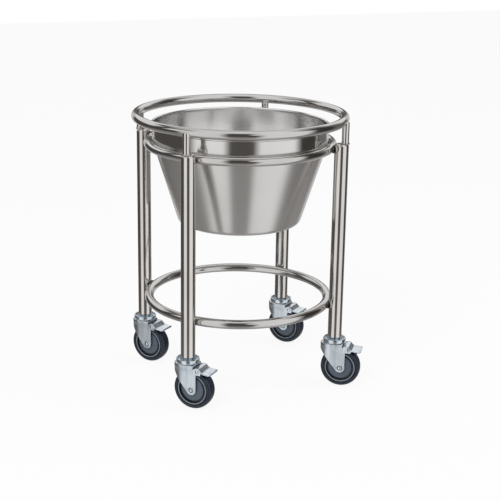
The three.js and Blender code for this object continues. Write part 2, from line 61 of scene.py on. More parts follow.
CORNER_ANGLE = math.radians(34)  # edges sharper than this stay crisp
BEVELLED_ANGLE = math.radians(50)  # the same, on a piece with rounded edges
CASTER_NUMBERS = (1, 2, 3, 4)
POSTS_ON_LEGS = (2, 3, 4)  # post 1 stands beside its leg

# Camera, from the photograph: heading is measured from +Y towards +X
CAMERA_PLACE = (-0.8093, -1.9498, 0.8677)
CAMERA_HEADING = math.radians(23.1)
CAMERA_PITCH = math.radians(16.66)
CAMERA_ROLL = math.radians(0.93)
CAMERA_LENS = 86.98
SENSOR_WIDTH = 36


# Meshes

def finish_mesh(name, mesh_data):
    """A new object from a bmesh, with outward faces and crisp corners."""
    bmesh.ops.remove_doubles(mesh_data, verts=mesh_data.verts, dist=MERGE_REACH)
    bmesh.ops.recalc_face_normals(mesh_data, faces=mesh_data.faces)
    mesh = bpy.data.meshes.new(name)
    mesh_data.to_mesh(mesh)
    mesh_data.free()
    mesh.shade_smooth()
    mesh.set_sharp_from_angle(angle=CORNER_ANGLE)
    piece = bpy.data.objects.new(name, mesh)
    bpy.context.scene.collection.objects.link(piece)
    return piece


def rounded(points, radii, steps, most=0.45):
    """A 2-D line with each corner between its ends rounded by its own radius.

    No corner takes more than the share "most" of the sides beside it.
    """
    result = [tuple(points[0])]
    for before, point, after, radius in zip(points, points[1:], points[2:], radii):
        here = Vector(point)
        back = Vector(before) - here
        ahead = Vector(after) - here
        turn = back.angle(ahead)
        reach = min(radius / math.tan(turn / 2), most * back.length, most * ahead.length)
        start = here + back.normalized() * reach
        end = here + ahead.normalized() * reach
        for k in range(steps + 1):
            t = k / steps
            result.append(tuple((1 - t) ** 2 * start + 2 * t * (1 - t) * here + t * t * end))
    result.append(tuple(points[-1]))
    return result


def lathe(name, profile, segments, place=Matrix(), closed=True, along_y=False, scale=MM):
    """A turned piece: the profile is a list of (radius, height) round Z, or round Y if along_y."""
    mesh_data = bmesh.new()
    rows = []
    for radius, height in profile:
        row = []
        for s in range(1 if radius < ON_AXIS else segments):
            angle = FULL_TURN * s / segments
            if along_y:
                spot = Vector((radius * math.sin(angle), height, radius * math.cos(angle)))
            else:
                spot = Vector((radius * math.cos(angle), radius * math.sin(angle), height))
            row.append(mesh_data.verts.new(place @ (spot * scale)))
        rows.append(row)
    pairs = list(zip(rows, rows[1:]))
    if closed:
        pairs.append((rows[-1], rows[0]))
    for low, high in pairs:
        for s in range(segments):
            n = (s + 1) % segments
            if len(low) == 1 and len(high) == 1:
                break
            if len(low) == 1:
                mesh_data.faces.new((low[0], high[n], high[s]))
            elif len(high) == 1:
                mesh_data.faces.new((low[s], low[n], high[0]))
            else:
                mesh_data.faces.new((low[s], low[n], high[n], high[s]))
    return finish_mesh(name, mesh_data)


def prism(name, outline, low, high, place, sideways=False):
    """A flat outline made thick: (x, y) from z low to high, or (x, z) from y low to high if sideways."""
    mesh_data = bmesh.new()
    layers = []
    for level in (low, high):
        spots = [Vector((a, level, b)) if sideways else Vector((a, b, level)) for a, b in outline]
        layers.append([mesh_data.verts.new(place @ (spot * MM)) for spot in spots])
    mesh_data.faces.new(layers[0])
    mesh_data.faces.new(layers[1])
    count = len(outline)
    for i in range(count):
        n = (i + 1) % count
        mesh_data.faces.new((layers[0][i], layers[0][n], layers[1][n], layers[1][i]))
    return finish_mesh(name, mesh_data)


def combine(target, other, operation):
    """Joins other to target or cuts it away, and removes other."""
    change = target.modifiers.new("combine", "BOOLEAN")
    change.operation = operation
    change.object = other
    change.solver = "EXACT"
    apply_modifiers(target)
    bpy.data.objects.remove(other)


def apply_modifiers(piece):
    """Replaces a piece's mesh by what its modifiers make of it."""
    bpy.context.view_layer.update()
    shaped = piece.evaluated_get(bpy.context.evaluated_depsgraph_get())
    mesh = bpy.data.meshes.new_from_object(shaped)
    piece.modifiers.clear()
    piece.data = mesh


def bevel(piece, width, segments):
    """Rounds a piece's crisp edges."""
    change = piece.modifiers.new("bevel", "BEVEL")
    change.width = width * MM
    change.segments = segments
    change.limit_method = "ANGLE"
    change.angle_limit = CORNER_ANGLE
    apply_modifiers(piece)
    piece.data.shade_smooth()
    piece.data.set_sharp_from_angle(angle=BEVELLED_ANGLE)


def sheet(name, grid, thickness, place):
    """A bent sheet of even thickness. Its grid holds rows of points across its outer face, in millimetres."""
    rows, columns = len(grid), len(grid[0])

    def normal(i, j):
        along = grid[min(i + 1, rows - 1)][j] - grid[max(i - 1, 0)][j]
        across = grid[i][min(j + 1, columns - 1)] - grid[i][max(j - 1, 0)]
        return across.cross(along).normalized()

    mesh_data = bmesh.new()
    upper = [[mesh_data.verts.new(place @ (p * MM)) for p in row] for row in grid]
    lower = [
        [mesh_data.verts.new(place @ ((grid[i][j] - normal(i, j) * thickness) * MM)) for j in range(columns)]
        for i in range(rows)
    ]
    for face in (upper, lower):
        for i in range(rows - 1):
            for j in range(columns - 1):
                mesh_data.faces.new((face[i][j], face[i + 1][j], face[i + 1][j + 1], face[i][j + 1]))
    border = [(i, 0) for i in range(rows)]
    border += [(rows - 1, j) for j in range(1, columns)]
    border += [(i, columns - 1) for i in range(rows - 2, -1, -1)]
    border += [(0, j) for j in range(columns - 2, 0, -1)]
    for (i, j), (m, n) in zip(border, border[1:] + border[:1]):
        mesh_data.faces.new((upper[i][j], upper[m][n], lower[m][n], lower[i][j]))
    return finish_mesh(name, mesh_data)


BEAD_STEPS = 56
BEAD_SIDES = 10
BEAD_LUMPS = ((0.16, 9, 1), (0.1, 17, 2))  # each wave's height, count round the bead, and share of its start


def bead(name, centre, across, up, half_width, half_height, radius, seed):
    """A weld bead: a lumpy closed rope round an ellipse."""
    phase = random.Random(seed).uniform(0, FULL_TURN)
    out = across.cross(up).normalized()
    mesh_data = bmesh.new()
    rows = []
    for s in range(BEAD_STEPS):
        angle = FULL_TURN * s / BEAD_STEPS
        run, rise = math.cos(angle), math.sin(angle)
        spine = centre + across * (half_width * run) + up * (half_height * rise)
        outward = (across * (run * half_height) + up * (rise * half_width)).normalized()
        lump = 1 + sum(size * math.sin(waves * angle + share * phase) for size, waves, share in BEAD_LUMPS)
        row = []
        for k in range(BEAD_SIDES):
            turn = FULL_TURN * k / BEAD_SIDES
            offset = outward * math.cos(turn) + out * math.sin(turn)
            row.append(mesh_data.verts.new(spine + offset * (radius * lump)))
        rows.append(row)
    for low, high in zip(rows, rows[1:] + rows[:1]):
        for k in range(BEAD_SIDES):
            n = (k + 1) % BEAD_SIDES
            mesh_data.faces.new((low[k], low[n], high[n], high[k]))
    return finish_mesh(name, mesh_data)


def arc(centre, radius, start, end, steps):
    """Points of an arc, with angles in degrees."""
    points = []
    for k in range(steps + 1):
        angle = math.radians(start + (end - start) * k / steps)
        points.append((centre[0] + radius * math.cos(angle), centre[1] + radius * math.sin(angle)))
    return points


# Materials

class Nodes:
    """Short ways to add and join nodes in a tree."""

    def __init__(self, tree):
        self.nodes = tree.nodes
        self.links = tree.links

    def add(self, kind, **settings):
        node = self.nodes.new(kind)
        for key, value in settings.items():
            setattr(node, key, value)
        return node

    def join(self, output, socket):
        self.links.new(output, socket)

    def math(self, operation, first, second=None):
        node = self.add("ShaderNodeMath", operation=operation)
        for socket, value in zip(node.inputs, (first, second)):
            if isinstance(value, (int, float)):
                socket.default_value = value
            elif value is not None:
                self.join(value, socket)
        return node.outputs[0]

    def ramp(self, value, stops):
        """Colours or greys along a value: stops is a list of (position, colour)."""
        node = self.add("ShaderNodeValToRGB")
        line = node.color_ramp.elements
        line.remove(line[1])
        line[0].position = stops[0][0]
        for position, colour in stops:
            element = line[0] if position == stops[0][0] else line.new(position)
            element.color = (*colour, 1) if not isinstance(colour, (int, float)) else (colour,) * 3 + (1,)
        self.join(value, node.inputs[0])
        return node.outputs[0]

    def mix(self, share, first, second):
        """The first shader, with a share of the second."""
        node = self.add("ShaderNodeMixShader")
        for socket, output in zip(node.inputs, (share, first, second)):
            self.join(output, socket)
        return node.outputs[0]


NOISE_ROUGHNESS = 0.55
TONE_ENDS = (0.3, 0.7)  # noise values at which a surface is at its darkest and its lightest
GLOSS_ENDS = (0.25, 0.75)  # and at its smoothest and its dullest


class Surface(Nodes):
    """A node material with one principled shader."""

    def __init__(self, name, colour, metallic, roughness):
        self.material = bpy.data.materials.new(name)
        self.material.use_nodes = True
        super().__init__(self.material.node_tree)
        self.shader = self.nodes["Principled BSDF"]
        self.shader.inputs["Base Color"].default_value = (*colour, 1)
        self.shader.inputs["Metallic"].default_value = metallic
        self.shader.inputs["Roughness"].default_value = roughness
        self.place = self.add("ShaderNodeTexCoord").outputs["Object"]

    def stretched(self, scale):
        """Coordinates scaled along X, Y and Z."""
        node = self.add("ShaderNodeMapping")
        node.inputs["Scale"].default_value = scale
        self.join(self.place, node.inputs["Vector"])
        return node.outputs[0]

    def turned(self, across, along, up):
        """Coordinates round the upright axis: radius, angle and height, each scaled."""
        split = self.add("ShaderNodeSeparateXYZ")
        self.join(self.place, split.inputs[0])
        x, y, z = split.outputs
        square = self.math("ADD", self.math("MULTIPLY", x, x), self.math("MULTIPLY", y, y))
        radius = self.math("SQRT", square)
        angle = self.math("ARCTAN2", y, x)
        merge = self.add("ShaderNodeCombineXYZ")
        self.join(self.math("MULTIPLY", radius, across), merge.inputs[0])
        self.join(self.math("MULTIPLY", angle, along), merge.inputs[1])
        self.join(self.math("MULTIPLY", z, up), merge.inputs[2])
        return merge.outputs[0]

    def noise(self, coordinates, scale, detail):
        node = self.add("ShaderNodeTexNoise")
        node.inputs["Scale"].default_value = scale
        node.inputs["Detail"].default_value = detail
        node.inputs["Roughness"].default_value = NOISE_ROUGHNESS
        self.join(coordinates, node.inputs["Vector"])
        return node.outputs["Fac"]

    def colour(self, value, stops):
        self.join(self.ramp(value, stops), self.shader.inputs["Base Color"])

    def two_tone(self, value, dark, light):
        self.colour(value, list(zip(TONE_ENDS, (dark, light))))

    def gloss(self, value, smooth, dull):
        """Roughness that runs from smooth to dull."""
        return self.ramp(value, list(zip(GLOSS_ENDS, (smooth, dull))))

    def roughness(self, value, smooth, dull):
        self.join(self.gloss(value, smooth, dull), self.shader.inputs["Roughness"])

    def bump(self, value, strength, distance):
        node = self.add("ShaderNodeBump")
        node.inputs["Strength"].default_value = strength
        node.inputs["Distance"].default_value = distance
        self.join(value, node.inputs["Height"])
        self.join(node.outputs[0], self.shader.inputs["Normal"])


def polished(name, coordinates_of, smooth, dull, dark, light):
    """Polished stainless tube, with fine drawn lines and a slightly warm cast."""
    surface = Surface(name, light, metallic=1, roughness=smooth)
    lines = surface.noise(coordinates_of(surface), scale=1, detail=4)
    patches = surface.noise(surface.place, scale=9, detail=2)
    surface.two_tone(patches, dark, light)
    surface.roughness(lines, smooth, dull)
    surface.bump(lines, strength=0.01, distance=0.0003)
    return surface.material


COLLAR_BLEND = (0.43, 0.445)  # heights in metres between which the pail's gloss changes from cone to collar
QUARTER_TURN = 0.25  # turns the streaks upright


def satin_pail(name, dark, light, cone, collar, streak):
    """Spun stainless with fine lines round it, which blur reflections up and down. The collar is glossier."""
    surface = Surface(name, dark, metallic=1, roughness=cone[0])
    lines = surface.noise(surface.turned(1100, 0.6, 1100), scale=1, detail=3)
    patches = surface.noise(surface.turned(8, 1.5, 6), scale=1, detail=2)
    surface.two_tone(patches, dark, light)
    split = surface.add("ShaderNodeSeparateXYZ")
    surface.join(surface.place, split.inputs[0])
    height = surface.ramp(split.outputs[2], [(COLLAR_BLEND[0], 1), (COLLAR_BLEND[1], collar / cone[1])])
    satin = surface.gloss(lines, *cone)
    surface.join(surface.math("MULTIPLY", height, satin), surface.shader.inputs["Roughness"])
    surface.bump(lines, strength=0.012, distance=0.0002)
    surface.shader.inputs["Anisotropic"].default_value = streak
    surface.shader.inputs["Anisotropic Rotation"].default_value = QUARTER_TURN
    tangent = surface.add("ShaderNodeTangent", direction_type="RADIAL", axis="Z")
    surface.join(tangent.outputs[0], surface.shader.inputs["Tangent"])
    return surface.material


def bright_zinc(name, smooth, dull):
    """Bluish zinc plate, cloudy and a little streaked, with the slight waves of pressed sheet."""
    dark, middle, light = (0.5, 0.57, 0.63), (0.67, 0.73, 0.78), (0.76, 0.81, 0.85)
    surface = Surface(name, middle, metallic=1, roughness=smooth)
    clouds = surface.noise(surface.place, scale=55, detail=3)
    streaks = surface.noise(surface.stretched((150, 150, 12)), scale=1, detail=3)
    surface.colour(streaks, [(0.3, dark), (0.55, middle), (0.75, light)])
    surface.roughness(clouds, smooth, dull)
    surface.bump(surface.noise(surface.place, scale=110, detail=1), strength=0.15, distance=0.0008)
    return surface.material


def weld_metal(name, dark, light):
    """Brushed-back weld, duller than the tubes beside it."""
    surface = Surface(name, light, metallic=1, roughness=0.32)
    ripples = surface.noise(surface.place, scale=300, detail=3)
    surface.two_tone(ripples, dark, light)
    surface.roughness(ripples, smooth=0.22, dull=0.4)
    surface.bump(ripples, strength=0.2, distance=0.0005)
    return surface.material


def grey_rubber():
    """Slate tyre rubber with a fine mould texture and worn patches."""
    surface = Surface("grey_rubber", (0.009, 0.018, 0.033), metallic=0, roughness=0.36)
    wear = surface.noise(surface.place, scale=60, detail=5)
    grain = surface.noise(surface.place, scale=1500, detail=2)
    surface.colour(wear, [(0.3, (0.006, 0.012, 0.024)), (0.75, (0.012, 0.022, 0.04))])
    surface.roughness(wear, smooth=0.28, dull=0.42)
    surface.bump(grain, strength=0.05, distance=0.0002)
    return surface.material


def grey_hub(name, dark, light):
    """Blue-grey moulded hub, slightly speckled."""
    surface = Surface(name, light, metallic=0, roughness=0.36)
    speckle = surface.noise(surface.place, scale=420, detail=4)
    surface.two_tone(speckle, dark, light)
    surface.roughness(speckle, smooth=0.28, dull=0.44)
    surface.bump(speckle, strength=0.04, distance=0.0002)
    return surface.material


def black_block():
    """Black moulded brake block with scuffs."""
    surface = Surface("black_block", (0.008, 0.008, 0.009), metallic=0, roughness=0.5)
    scuffs = surface.noise(surface.place, scale=260, detail=5)
    surface.colour(scuffs, [(0.35, (0.005, 0.005, 0.006)), (0.8, (0.02, 0.021, 0.023))])
    surface.roughness(scuffs, smooth=0.4, dull=0.65)
    surface.bump(scuffs, strength=0.12, distance=0.0003)
    return surface.material


def dark_steel():
    """Dark steel for the stems, balls and bushes, which show only in gaps, so that the gaps read dark as
    painted shade; also painted shade in the rivets' grooves.
    """
    surface = Surface("dark_steel", (0.2, 0.2, 0.2), metallic=1, roughness=0.35)
    film = surface.noise(surface.place, scale=300, detail=3)
    surface.two_tone(film, dark=(0.13, 0.13, 0.13), light=(0.26, 0.26, 0.25))
    surface.roughness(film, smooth=0.25, dull=0.45)
    return surface.material


leg_steel = polished(
    "polished_leg", lambda s: s.stretched((900, 900, 9)),
    smooth=0.11, dull=0.16, dark=(0.635, 0.607, 0.584), light=(0.69, 0.672, 0.653),
)
# The rings' copy of the tube steel is darker than the legs': painted shade.
ring_steel = polished(
    "polished_ring", lambda s: s.turned(700, 2.5, 700),
    smooth=0.08, dull=0.12, dark=(0.55, 0.536, 0.523), light=(0.6, 0.59, 0.58),
)
pail_steel = satin_pail(
    "satin_pail", dark=(0.63, 0.62, 0.605), light=(0.69, 0.68, 0.67),
    cone=(0.21, 0.27), collar=0.17, streak=0.8,
)
# The inside's copy of the pail steel is lighter than the outside's: painted light inside the pail.
pail_inside_painted_light = satin_pail(
    "pail_inside_painted_light", dark=(0.78, 0.775, 0.77), light=(0.83, 0.825, 0.82),
    cone=(0.25, 0.3), collar=0.22, streak=1,
)
zinc = bright_zinc("bright_zinc", smooth=0.12, dull=0.24)
zinc_sheet = bright_zinc("zinc_sheet", smooth=0.26, dull=0.38)
weld = weld_metal("weld_metal", dark=(0.34, 0.32, 0.31), light=(0.55, 0.53, 0.51))
# The ring welds' copy of the weld is near black: painted shade in the crevices where the rings meet the legs.
weld_painted_shade = weld_metal("weld_painted_shade", dark=(0.06, 0.055, 0.05), light=(0.17, 0.16, 0.15))
rubber = grey_rubber()
hub_grey = grey_hub("grey_hub", dark=(0.07, 0.093, 0.125), light=(0.092, 0.118, 0.155))
# The lip's hub grey is lighter than the hub's: a painted highlight along the bead.
hub_lip = grey_hub("lip_painted_highlight", dark=(0.18, 0.21, 0.25), light=(0.26, 0.29, 0.33))
# Near-black hub grey for the hub's groove: painted shade in the recess.
hub_shade = grey_hub("groove_painted_shade", dark=(0.01, 0.012, 0.016), light=(0.02, 0.023, 0.028))
block_black = black_block()
dark_steel_and_gap_shade = dark_steel()


def darken(piece, axle, radii, material):
    """Gives a turned piece's faces between two radii round its axle a second, darker material: painted shade
    in a groove.
    """
    piece.data.materials.append(material)
    inner, outer = radii
    for face in piece.data.polygons:
        spot = axle.inverted() @ face.center / MM
        if inner < math.hypot(spot.x, spot.z) < outer:
            face.material_index = 1


def dress(piece, material, body, slot, *nodes):
    """Gives a piece its material and body, and hides the CAD nodes that it stands for. The slot is not used.
    """
    piece.data.materials.clear()
    piece.data.materials.append(material)
    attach(piece, body)
    for node in nodes:
        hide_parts(node)


# Stand: rings, in metres

RING_SEGMENTS = 224
BAR_SEGMENTS = 40
rings = {}
for ring_name in ("base_ring", "support_ring", "top_ring"):
    low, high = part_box(ring_name)
    bar = (high.z - low.z) / 2
    radius = (high.x - low.x) / 2 - bar
    height = (high.z + low.z) / 2
    rings[ring_name] = (radius, height, bar)
    section = arc((radius, height), bar, 0, 360 * (1 - 1 / BAR_SEGMENTS), BAR_SEGMENTS - 1)
    ring = lathe(f"polished_{ring_name}", section, RING_SEGMENTS, scale=1)
    dress(ring, ring_steel, "stand", "polished_tube", ring_name)

# Stand: legs with closed, domed tops, in millimetres

LEG_WALL = 1.5
LEG_CAP = 2.5
LEG_DOME = 4.5
LEG_DOME_TURN = 84  # degrees of the dome's edge, before its nearly flat middle
LEG_DOME_STEPS = 8
LEG_CHAMFER = 0.4
LEG_SEGMENTS = 56
legs = {}
for number in CASTER_NUMBERS:
    low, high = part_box(f"leg_tube_{number}")
    radius = (high.x - low.x) / 2 / MM
    foot, top = low.z / MM, high.z / MM
    centre = Vector(((low.x + high.x) / 2, (low.y + high.y) / 2, 0))
    legs[number] = (centre, radius)
    bore = radius - LEG_WALL
    dome = arc((radius - LEG_DOME, top - LEG_DOME), LEG_DOME, 0, LEG_DOME_TURN, LEG_DOME_STEPS)
    profile = [(0, top - LEG_CAP - LEG_DOME), (bore, top - LEG_CAP - LEG_DOME), (bore, foot)]
    profile += [(radius - LEG_CHAMFER, foot), (radius, foot + LEG_CHAMFER), *dome, (0, top)]
    leg = lathe(f"polished_leg_{number}", profile, LEG_SEGMENTS, Matrix.Translation(centre), closed=False)
    dress(leg, leg_steel, "stand", "polished_tube", f"leg_tube_{number}")

# Stand: posts under the top ring, and the welds at each meeting of tubes, in millimetres

POST_RADIUS = 6.35
POST_EDGE = 1.2
POST_EDGE_STEPS = 4
POST_SEGMENTS = 36
POST_WELD_RADIUS = 1.5
POST_WELD_RISE = 0.4
POST_WELD_SEED = 10
RING_WELD_RADIUS = 1.9
RING_WELD_HALF = (9, 5.2)  # half width and half height
RING_WELD_DEPTH = 0.97  # share of the bar's radius at which the bead runs
RING_WELD_SEEDS = {"base_ring": 20, "support_ring": 30}
UP = Vector((0, 0, 1))
top_radius = rings["top_ring"][0]
support_radius = rings["support_ring"][0]


def weld_bead(name, metal, centre, across, up, half_width, half_height, radius, seed):
    """A bead on the stand. Its place is in metres and its sizes are in millimetres."""
    rope = bead(name, centre, across, up, half_width * MM, half_height * MM, radius * MM, seed)
    dress(rope, metal, "stand", "polished_tube")


for number in CASTER_NUMBERS:
    low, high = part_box(f"ring_post_{number}")
    outward = Vector(((low.x + high.x) / 2, (low.y + high.y) / 2, 0)).normalized()
    sideways = UP.cross(outward)
    if number in POSTS_ON_LEGS:
        centre, leg_radius = legs[number]
        axis = outward * (centre.length + (leg_radius - POST_RADIUS) * MM)
    else:
        axis = outward * ((top_radius + support_radius) / 2)
    foot, top = low.z / MM, high.z / MM
    edge = arc((POST_RADIUS - POST_EDGE, top - POST_EDGE), POST_EDGE, 0, 90, POST_EDGE_STEPS)
    profile = [(0, foot), (POST_RADIUS, foot), *edge, (0, top)]
    post = lathe(f"polished_post_{number}", profile, POST_SEGMENTS, Matrix.Translation(axis), closed=False)
    dress(post, leg_steel, "stand", "polished_tube", f"ring_post_{number}")
    foot_place = axis + UP * (low.z + POST_WELD_RISE * MM)
    weld_bead(
        f"post_foot_weld_{number}", weld, foot_place, outward, sideways,
        POST_RADIUS, POST_RADIUS, POST_WELD_RADIUS, POST_WELD_SEED + number,
    )

# Ring-to-leg welds take the near-black weld, painted shade where ring and leg meet.
for number in CASTER_NUMBERS:
    outward = legs[number][0].normalized()
    sideways = UP.cross(outward)
    for ring_name, seed in RING_WELD_SEEDS.items():
        radius, height, bar = rings[ring_name]
        meeting = outward * (radius + bar * RING_WELD_DEPTH) + UP * height
        weld_bead(
            f"{ring_name}_weld_{number}", weld_painted_shade, meeting, sideways, UP,
            *RING_WELD_HALF, RING_WELD_RADIUS, seed + number,
        )

# Bucket: cone, upright collar and rolled rim, in millimetres

BUCKET_FLOOR = 292
BUCKET_FLOOR_RADIUS = 109
BUCKET_COLLAR = (156.4, 441)
BUCKET_WALL = 1.2
BUCKET_CORNER = 12
BUCKET_CORNER_STEPS = 8
BUCKET_BEND = 150  # inside, where the collar runs over into the cone
BUCKET_BEND_RISE = 0.3  # how much higher that bend lies than the one outside
BUCKET_BEND_STEPS = 14
BUCKET_BEND_SHARE = 0.9  # most of the collar's height that the bend may take
BUCKET_SEGMENTS = 160
RIM_BEAD = 2.2
RIM_ROLL = (-90, 213)  # degrees at which the rolled rim leaves the collar and meets it again
RIM_STEPS = 14
FLOOR_FACING = 0.9  # upward share of a floor face's normal
rim_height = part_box("bucket")[1].z / MM


def bucket_profile():
    """Half section of the pail: up its outside, round its rim and down its inside."""
    collar_radius, collar_low = BUCKET_COLLAR
    inner_radius = collar_radius - BUCKET_WALL
    inner_floor = BUCKET_FLOOR + BUCKET_WALL
    low_rim = rim_height - 2 * RIM_BEAD
    outside = [
        (0, BUCKET_FLOOR),
        (BUCKET_FLOOR_RADIUS, BUCKET_FLOOR),
        BUCKET_COLLAR,
        (collar_radius, low_rim),
    ]
    inside = [
        (inner_radius, low_rim),
        (inner_radius, collar_low + BUCKET_BEND_RISE),
        (BUCKET_FLOOR_RADIUS - BUCKET_WALL, inner_floor),
        (0, inner_floor),
    ]
    outer_line = rounded(outside, [BUCKET_CORNER, BUCKET_CORNER], BUCKET_CORNER_STEPS)
    inner_radii = [BUCKET_BEND, BUCKET_CORNER - BUCKET_WALL]
    inner_line = rounded(inside, inner_radii, BUCKET_BEND_STEPS, BUCKET_BEND_SHARE)
    rim = arc((collar_radius, rim_height - RIM_BEAD), RIM_BEAD, *RIM_ROLL, RIM_STEPS)
    return outer_line[:-1] + rim + inner_line


bucket = lathe("spun_bucket", bucket_profile(), BUCKET_SEGMENTS, closed=False)
dress(bucket, pail_steel, "bucket", "satin_steel", "bucket")
# Inside faces and the pail's floor take the lighter copy, painted light.
bucket.data.materials.append(pail_inside_painted_light)
for face in bucket.data.polygons:
    middle = face.center
    faces_axis = face.normal.x * middle.x + face.normal.y * middle.y < 0
    if faces_axis or (face.normal.z > FLOOR_FACING and middle.z < BUCKET_COLLAR[1] * MM):
        face.material_index = 1

# Casters, in millimetres

WHEEL_RADIUS = 36
TYRE_SEAT = 28.5
AXLE = (13, 36)
FORK_TOP = 82
FORK_WEB_LOW = 75
FORK_WEB_HALF = 16
FORK_WEB_BACK = 17
FORK_PLATE_HALF = 14.3
FORK_WALL = 1.8
FORK_NOSE = 25  # reach ahead of the swivel axis
FORK_NOSE_START = -5  # where the flat plates turn in to the nose
FORK_NOSE_EDGE = 69
FORK_BOSS = 9  # radius of the plates' rounded ends at the axle
FORK_BACK = AXLE[0] + FORK_BOSS
FORK_SHOULDER = 4
FORK_DRAFT = (78, 67)  # heights between which the skirt draws in from the web to the plates
FORK_EDGE = 0.5
FORK_SHOULDER_STEPS = 6
FORK_SIDE_STEPS = 26
FORK_NOSE_STEPS = 28
FORK_SKIRT_SHARES = (0.1, 0.2, 0.3, 0.4, 0.5, 0.6, 0.75, 0.9, 1)  # the skirt's layers, from its top down
FORK_ROOM = 5  # how far the cuts run past the fork
PEDAL_PIN = (26, 72.6)
EAR_RADIUS = 4
EAR_STEPS = 12


def smooth_step(low, high, value):
    """0 at low, 1 at high, with a soft start and end."""
    t = min(max((value - low) / (high - low), 0), 1)
    return t * t * (3 - 2 * t)


def tangent_to_circle(point, centre, radius):
    """Where a line from a point touches the lower left side of a circle."""
    dx, dz = point[0] - centre[0], point[1] - centre[1]
    distance = math.hypot(dx, dz)
    angle = math.atan2(dz, dx) + math.acos(radius / distance)
    return (centre[0] + radius * math.cos(angle), centre[1] + radius * math.sin(angle))


def fork_lower_edge(x):
    """Height of the fork's lower edge: the slant from the nose, then the rounded end at the axle."""
    touch = tangent_to_circle((-FORK_NOSE, FORK_NOSE_EDGE), AXLE, FORK_BOSS)
    if x <= touch[0]:
        t = (x + FORK_NOSE) / (touch[0] + FORK_NOSE)
        return FORK_NOSE_EDGE + t * (touch[1] - FORK_NOSE_EDGE)
    reach = min(abs(x - AXLE[0]), FORK_BOSS)
    return AXLE[1] - math.sqrt(FORK_BOSS ** 2 - reach ** 2)


def fork_plan(half, inset):
    """Plan of the fork inside a half width: from one back edge round the nose to the other."""
    width = half - inset
    side = []
    for k in range(FORK_SIDE_STEPS):
        along = math.cos(math.pi / 2 * k / FORK_SIDE_STEPS)
        side.append((FORK_NOSE_START + (FORK_BACK - FORK_NOSE_START) * along, width))
    reach = FORK_NOSE + FORK_NOSE_START - inset
    half_round = arc((0, 0), 1, 90, 270, FORK_NOSE_STEPS)
    nose = [(FORK_NOSE_START + reach * x, width * y) for x, y in half_round]
    return [Vector(point) for point in (*side, *nose, *((x, -y) for x, y in reversed(side)))]


def fork_layers():
    """Layers down the fork's outside and up its inside, each a row of points (x, y, z) round its plan."""
    layers = []
    shoulder = (FORK_SHOULDER, FORK_TOP - FORK_SHOULDER)
    for inset, z in arc(shoulder, FORK_SHOULDER, 90, 180, FORK_SHOULDER_STEPS):
        layers.append([(x, y, z) for x, y in fork_plan(FORK_WEB_HALF, inset)])
    web, plates = fork_plan(FORK_WEB_HALF, 0), fork_plan(FORK_PLATE_HALF, 0)
    for share in FORK_SKIRT_SHARES:
        layer = []
        for wide, narrow in zip(web, plates):
            edge = fork_lower_edge(narrow.x) + FORK_EDGE
            z = FORK_TOP - FORK_SHOULDER + (edge - FORK_TOP + FORK_SHOULDER) * share
            layer.append((*wide.lerp(narrow, smooth_step(*FORK_DRAFT, z)), z))
        layers.append(layer)
    rims = ((FORK_EDGE, 0), (FORK_WALL - FORK_EDGE, 0), (FORK_WALL, FORK_EDGE))
    for inset, rise in rims:
        inner = fork_plan(FORK_PLATE_HALF, inset)
        edges = [fork_lower_edge(x) + rise for x, _ in plates]
        layers.append([(x, y, edge) for (x, y), edge in zip(inner, edges)])
    layers.append([(x, y, FORK_WEB_LOW) for x, y in fork_plan(FORK_PLATE_HALF, FORK_WALL)])
    return layers


def fork(name, place):
    """The pressed fork: a web, a rounded shoulder and a skirt that draws in to two plates at the axle."""
    mesh_data = bmesh.new()
    layers = [[mesh_data.verts.new(place @ (Vector(p) * MM)) for p in layer] for layer in fork_layers()]
    for upper, lower in zip(layers, layers[1:]):
        for k in range(len(upper) - 1):
            mesh_data.faces.new((upper[k], upper[k + 1], lower[k + 1], lower[k]))
    mesh_data.faces.new(layers[0])
    mesh_data.faces.new(layers[-1])
    mesh_data.faces.new([*(layer[0] for layer in layers), *(layer[-1] for layer in reversed(layers))])
    body = finish_mesh(name, mesh_data)
    inner = FORK_PLATE_HALF - FORK_WALL
    past = FORK_BACK + FORK_ROOM
    between_plates = [(FORK_WEB_BACK, -inner), (past, -inner), (past, inner), (FORK_WEB_BACK, inner)]
    combine(body, prism("room", between_plates, 0, FORK_TOP + FORK_ROOM, place), "DIFFERENCE")
    wide = FORK_WEB_HALF + FORK_ROOM
    over_plates = [(FORK_WEB_BACK, -wide), (past, -wide), (past, wide), (FORK_WEB_BACK, wide)]
    combine(body, prism("room", over_plates, FORK_WEB_LOW, FORK_TOP + FORK_ROOM, place), "DIFFERENCE")
    root = FORK_BACK - FORK_WALL
    low, high = PEDAL_PIN[1] - EAR_RADIUS, FORK_WEB_LOW - FORK_EDGE
    ear = [(root, low), *arc(PEDAL_PIN, EAR_RADIUS, -90, 90, EAR_STEPS)]
    ear += [(PEDAL_PIN[0] - EAR_RADIUS, high), (root, high)]
    for side in (-1, 1):
        ends = sorted((side * inner, side * FORK_PLATE_HALF))
        combine(body, prism("ear", ear, *ends, place, sideways=True), "UNION")
    body.data.shade_smooth()
    body.data.set_sharp_from_angle(angle=CORNER_ANGLE)
    return body


def mirrored(side):
    """A closed profile from its half with y above 0."""
    return [*side, *((radius, -y) for radius, y in reversed(side))]


